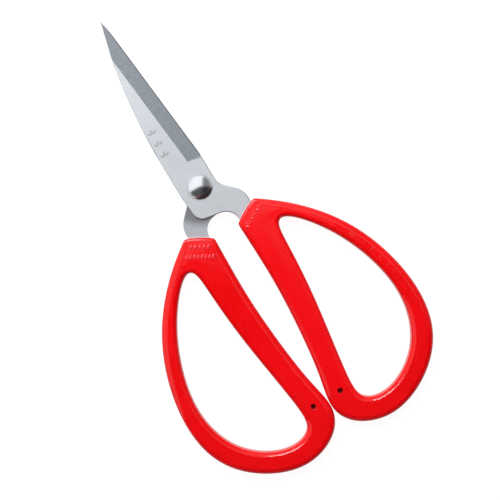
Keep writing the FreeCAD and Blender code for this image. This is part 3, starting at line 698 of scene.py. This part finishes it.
class Face:
    """One broad face of a grip: its lines are laid out on the flat, and then its skin is filled in."""

    def __init__(self, surface, outlines, front):
        self.surface, self.outlines, self.front = surface, outlines, front
        self.up = 1 if front else -1
        self.flat, self.numbers, self.edges, self.raised = [], [], [], set()
        self.samples = np.vstack(outlines)
        self.facing = np.vstack([inward(points) for points in outlines])
        self.nearest = near_points(self.samples)

    def crowned(self, flat):
        """Height and normal of the crowned face at each point."""
        heights, normals = [], []
        for x, y in flat:
            _, index, _ = self.nearest.find((x, y, 0))
            depth = abs(float((np.array([x, y]) - self.samples[index]) @ self.facing[index]))
            slope = 2 * CROWN / CROWN_REACH * max(1 - depth / CROWN_REACH, 0)
            normals.append(Vector((*(-self.facing[index] * slope), self.up)).normalized())
            level = GRIP_TOP - crown_drop(depth)
            heights.append(level if self.front else GRIP_TOP - level)
        return np.array(heights), normals

    def follow(self, flat, numbers):
        """A line that the skin follows, closed if it has more than two points."""
        first = len(self.numbers)
        count = len(flat)
        self.flat.append(flat)
        self.numbers.extend(numbers)
        for i in range(count if count > 2 else 1):
            self.edges.append((first + i, first + (i + 1) % count))

    def draw(self, flat, rise=0.0):
        """A new line on the face, or raised from it."""
        heights, normals = self.crowned(flat)
        if rise:
            self.raised.update(range(len(self.numbers), len(self.numbers) + len(flat)))
        numbers = self.surface.add(np.column_stack([flat, heights + rise]), normals)
        self.follow(flat, numbers)
        return numbers, heights

    def pin_hole(self, place):
        """A round blind hole with a softened lip."""
        turn = np.linspace(0, 2 * math.pi, PIN_SIDES, endpoint=False)
        circle = np.column_stack([np.cos(turn), np.sin(turn)])
        previous, heights = self.draw(place + circle * PIN_RADIUS * PIN_LIP)
        for share, depth in PIN_RINGS:
            level = heights.mean() - self.up * depth * PIN_DEPTH
            tilt = 0.6 * self.up if share > 1 else 0
            ring = self.surface.add(
                np.column_stack([place + circle * PIN_RADIUS * share, np.full(PIN_SIDES, level)]),
                [Vector((-x, -y, tilt)).normalized() for x, y in circle])
            self.surface.strip(*((previous, ring) if self.front else (ring, previous)))
            previous = ring
        self.surface.faces.append(tuple(previous if self.front else previous[::-1]))
        self.surface.sharp.append(True)

    def leaf(self, centre, length, degrees):
        """A raised leaf with sloping sides and a crest along its middle."""
        self.draw(leaf_outline(centre, length, degrees))
        self.draw(leaf_outline(centre, length, degrees, LEAF_SHOULDER), LEAF_SHOULDER_RISE)
        self.draw(leaf_outline(centre, length, degrees, LEAF_CREST)[[0, LEAF_STEPS]], LEAF_CREST_RISE)

    def between_lines(self):
        """Points on a triangular grid over the face, clear of every line."""
        low, high = self.samples.min(axis=0), self.samples.max(axis=0)
        rows = int((high[1] - low[1]) / GRID_STEP / GRID_ROW) + 1
        columns = int((high[0] - low[0]) / GRID_STEP) + 1
        grid = np.array([(low[0] + GRID_STEP * (i + 0.5 * (j % 2)), low[1] + GRID_STEP * GRID_ROW * j)
                         for j in range(rows) for i in range(columns)])
        grid = grid[inside(self.outlines[0], grid) & ~inside(self.outlines[1], grid)]
        lines = near_points(np.vstack(self.flat))
        clear = [self.nearest.find((x, y, 0))[2] > SIDE_ROUND + 0.35 * GRID_STEP
                 and lines.find((x, y, 0))[2] > 0.45 * GRID_STEP for x, y in grid]
        return grid[np.array(clear)]

    def fill(self):
        """The skin between the rim, the finger hole and the pin hole, in triangles."""
        rim, hole, pin_lip = self.flat[:3]
        grid = self.between_lines()
        heights, normals = self.crowned(grid)
        self.numbers.extend(self.surface.add(np.column_stack([grid, heights]), normals))
        places = np.vstack(self.flat + [grid])
        found = geometry.delaunay_2d_cdt([Vector(p) for p in places], self.edges, [], 0, 1e-9)
        origin = [source[0] for source in found[3]]
        triangles = np.array([[origin[i] for i in corners] for corners in found[2]])
        middles = places[triangles].mean(axis=1)
        solid = inside(rim, middles) & ~inside(hole, middles) & ~inside(pin_lip, middles)
        for triangle in triangles[solid]:
            a, b, c = places[triangle]
            left = (b[0] - a[0]) * (c[1] - a[1]) - (b[1] - a[1]) * (c[0] - a[0]) > 0
            corners = [self.numbers[i] for i in triangle]
            self.surface.faces.append(tuple(corners if left == self.front else corners[::-1]))
            self.surface.sharp.append(not self.raised.isdisjoint(triangle.tolist()))


def moulded_grip(name, side, marks):
    """A whole grip as one closed skin; side is +1 for the right one and -1 for the left one."""
    surface = Surface()
    flip = np.array([side, 1])
    rim = (grip_rim() * flip)[::side]
    hole = (finger_hole() * flip)[::side]
    rim_edges = walls(surface, rim, rim_rounding(rim * flip))
    hole_edges = walls(surface, hole, np.full(len(hole), HOLE_ROUND))
    for front, borders, leaves in zip((True, False), zip(rim_edges, hole_edges), (marks, [])):
        face = Face(surface, (rim, hole), front)
        for ring in borders:
            face.follow(np.array(surface.points)[ring][:, :2], ring)
        face.pin_hole(np.array(PIN_PLACE) * flip)
        for leaf in leaves:
            face.leaf(*leaf)
        face.fill()
    return surface.build(name)


def end_place(side, across, drop):
    """A place on a grip's front face, from the middle of its end: across it, and down from it."""
    middle = Vector((NECK_INNER + NECK_OUTER, -(GRIP_START + GRIP_INNER_START))) / 2
    run = (Vector(OUTER_CORNER) - Vector(INNER_CORNER)).normalized()
    down = Vector((run.y, -run.x))
    place = middle + run * side * across + down * drop
    return (place.x * side, place.y)


END_LEAN = math.degrees(math.atan2(GRIP_INNER_START - GRIP_START,
                                   NECK_OUTER - NECK_INNER + 2 * GRIP_LAP))
SPRIG_LEAF = 1.75 * MM
SPRIG_STEM = 0.3 * MM
SPRIG_SPREAD = 55
SPRIG_PITCH = 3.5 * MM
SPRIG_DROP = 3.9 * MM

sprigs = []
for number in (-1, 0, 1):
    for degrees in (-SPRIG_SPREAD, 0, SPRIG_SPREAD):
        reach = SPRIG_STEM + SPRIG_LEAF / 2
        across = number * SPRIG_PITCH - reach * math.sin(math.radians(degrees))
        drop = SPRIG_DROP - reach * math.cos(math.radians(degrees))
        sprigs.append((end_place(1, across, drop), SPRIG_LEAF, degrees + END_LEAN))

# Thin haze and specks of a moulded skin, and the slight unevenness that makes a gloss ripple.
RIPPLE_SCALE = 230.0
HAZE_SCALE = 45.0
SPECK_PATCHES = 900.0

skin_group, given, out = new_group(
    "moulded_skin", [("Vector", "Place", (0, 0, 0)), ("Float", "Speck Size", 0.0009)],
    [("Float", "Ripple"), ("Float", "Specks"), ("Float", "Haze")])
link(skin_group, noise(skin_group, given["Place"], RIPPLE_SCALE, 2.0, 0.4), out["Ripple"])
cells = skin_group.nodes.new("ShaderNodeTexVoronoi")
link(skin_group, given["Place"], cells.inputs["Vector"])
link(skin_group, maths(skin_group, "DIVIDE", 1.0, given["Speck Size"]), cells.inputs["Scale"])
chosen = ramp(skin_group, noise(skin_group, given["Place"], SPECK_PATCHES, 0.0, 0.5), 0.66, 0.7)
dots = ramp(skin_group, cells.outputs["Distance"], 0.06, 0.16, 1.0, 0.0)
link(skin_group, maths(skin_group, "MULTIPLY", dots, chosen), out["Specks"])
link(skin_group, noise(skin_group, given["Place"], HAZE_SCALE, 4.0, 0.6), out["Haze"])

RED_DEEP = (0.80, 0.0015, 0.003)
RED_BRIGHT = (0.88, 0.003, 0.006)
RED_SPECK = (0.45, 0.001, 0.002)
RED_SCRATCHED = (0.9, 0.05, 0.06)
RED_TOP_HIGHLIGHT = (0.98, 0.10, 0.13)
PIN_HOLE_SHADE = (0.06, 0.0, 0.0)
SPECK_SIZE = 1.1 * MM
SKIN_RIPPLE = 0.012 * MM


def grip_plastic(name):
    """Glossy red moulded plastic, duller at its edges, with a painted highlight on the tops of its
    raised marks and painted shade in its pin holes.
    """
    material, tree, shader = new_material(name)
    place = tree.nodes.new("ShaderNodeTexCoord").outputs["Object"]
    skin = placed(tree, skin_group, Place=place, Speck_Size=SPECK_SIZE)
    lean = placed(tree, lean_group, From=0.05, To=0.5)
    handling = placed(tree, handling_group, Place=place, Scale=0.8)
    red = mixed(tree, ramp(tree, skin["Haze"], 0.3, 0.7), RED_DEEP, RED_BRIGHT)
    red = mixed(tree, skin["Specks"], red, RED_SPECK)
    red = mixed(tree, maths(tree, "MULTIPLY", handling["Scratch"], 0.12), red, RED_SCRATCHED)

    # Painted shade in the pin holes: both pin holes lie at the same distances from the centre plane and
    # the pivot, and their floors and walls are painted dark.
    folded = tree.nodes.new("ShaderNodeVectorMath")
    folded.operation = "ABSOLUTE"
    link(tree, place, folded.inputs[0])
    from_pin = tree.nodes.new("ShaderNodeVectorMath")
    from_pin.operation = "DISTANCE"
    link(tree, stretched(tree, folded.outputs["Vector"], 0, (1, 1, 0)), from_pin.inputs[0])
    from_pin.inputs[1].default_value = (abs(PIN_PLACE.x), abs(PIN_PLACE.y), 0)
    pin_shade = ramp(tree, from_pin.outputs["Value"], PIN_RADIUS * 0.85, PIN_RADIUS * 1.1, 0.9, 0.0)
    red = mixed(tree, pin_shade, red, PIN_HOLE_SHADE)
    # Painted highlight: the tops of the raised marks are painted a paler red.
    raised = along(tree, place, (0, 0, 1))
    lit_tops = ramp(tree, raised, GRIP_TOP + 0.03 * MM, GRIP_TOP + 0.22 * MM, 0.0, 0.5)
    link(tree, mixed(tree, lit_tops, red, RED_TOP_HIGHLIGHT), shader.inputs["Base Color"])

    worn = maths(tree, "MULTIPLY", lean["Lean"], 0.08)
    rough = maths(tree, "ADD", ramp(tree, skin["Haze"], 0.3, 0.7, 0.05, 0.08), worn)
    rough = maths(tree, "ADD", rough, maths(tree, "MULTIPLY", handling["Smudge"], 0.03))
    link(tree, rough, shader.inputs["Roughness"])
    shader.inputs["Specular IOR Level"].default_value = 0.3
    height = maths(tree, "SUBTRACT", skin["Ripple"], maths(tree, "MULTIPLY", skin["Specks"], 0.6))
    link(tree, bumped(tree, height, SKIN_RIPPLE), shader.inputs["Normal"])
    return material


red_plastic = grip_plastic("red_plastic")

right_grip = moulded_grip("right_grip_moulding", 1, sprigs)
right_grip.data.materials.append(red_plastic)
glossy_pieces.objects.link(right_grip)
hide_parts("right_grip")
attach(right_grip, "front_half")


# =============================================================================================
# Left grip: the right grip's mirror image, moulded over the rear blade's tang, with two rows of
# small raised leaves in place of the sprigs.
# =============================================================================================

ROW_LEAF = 2.3 * MM
ROW_LEAN = 20

# Each row's number of leaves, the leaves' pitch, and its drop from the grip's end.
ROWS = [(5, 1.6 * MM, 2.7 * MM), (8, 1.35 * MM, 6.3 * MM)]

rows = []
for count, pitch, drop in ROWS:
    for number in range(count):
        across = (number - (count - 1) / 2) * pitch
        rows.append((end_place(-1, across, drop), ROW_LEAF, -ROW_LEAN - END_LEAN))

left_grip = moulded_grip("left_grip_moulding", -1, rows)
left_grip.data.materials.append(red_plastic)
glossy_pieces.objects.link(left_grip)
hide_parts("left_grip")
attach(left_grip, "rear_half")


# =============================================================================================
# Rivet: turned from plated steel, with a domed head in front and an upset tail behind. It holds
# both blades, and its head is polished.
# =============================================================================================

RIVET_STEEL = (0.74, 0.755, 0.78)
RIM_SHADE = (0.05, 0.035, 0.04)
RING_SCALE = 2600.0
GRIPS_WAY = RIGHT * 0.6 - FAR * 0.8


def turned_steel(name, colour, roughness, ring_depth):
    """Bright steel with faint rings about the pivot axis, and painted shade, darker and rougher, on the
    side that faces the grips.
    """
    material, tree, shader = new_material(name)
    place = tree.nodes.new("ShaderNodeTexCoord").outputs["Object"]
    handling = placed(tree, handling_group, Place=place, Scale=1.6)
    rings = tree.nodes.new("ShaderNodeTexWave")
    rings.wave_type = "RINGS"
    rings.rings_direction = "Z"
    rings.inputs["Scale"].default_value = RING_SCALE
    rings.inputs["Distortion"].default_value = 0.6
    rings.inputs["Detail"].default_value = 2.0
    link(tree, place, rings.inputs["Vector"])
    tone = mixed(tree, handling["Smudge"], colour, [c * 0.9 for c in colour])
    tone = mixed(tree, maths(tree, "MULTIPLY", handling["Scratch"], 0.3), tone, SCRATCH_WHITE)
    # Painted shade: faces turned towards the grips are painted dark and made rougher.
    facing = tree.nodes.new("ShaderNodeTexCoord").outputs["Normal"]
    shaded_side = ramp(tree, along(tree, facing, GRIPS_WAY), 0.4, 0.6, 0.0, 0.8)
    link(tree, mixed(tree, shaded_side, tone, RIM_SHADE), shader.inputs["Base Color"])
    rough = ramp(tree, rings.outputs["Fac"], 0.2, 0.8, roughness, roughness * 1.25)
    rough = maths(tree, "ADD", rough, maths(tree, "MULTIPLY", shaded_side, 0.6))
    link(tree, rough, shader.inputs["Roughness"])
    shader.inputs["Metallic"].default_value = 1.0
    link(tree, bumped(tree, rings.outputs["Fac"], ring_depth), shader.inputs["Normal"])
    return material


finished("pivot_rivet", turned_steel("rivet_steel", RIVET_STEEL, 0.21, 0.002 * MM))


# =============================================================================================
# Washers: plain punched steel, one under the rivet's head and a larger one under its tail. The
# rivet clamps both of them, so they move with it.
# =============================================================================================

WASHER_STEEL = (0.42, 0.43, 0.45)

for node in ("head_washer", "tail_washer"):
    finished(node, turned_steel(f"{node}_steel", WASHER_STEEL, 0.36, 0.003 * MM))
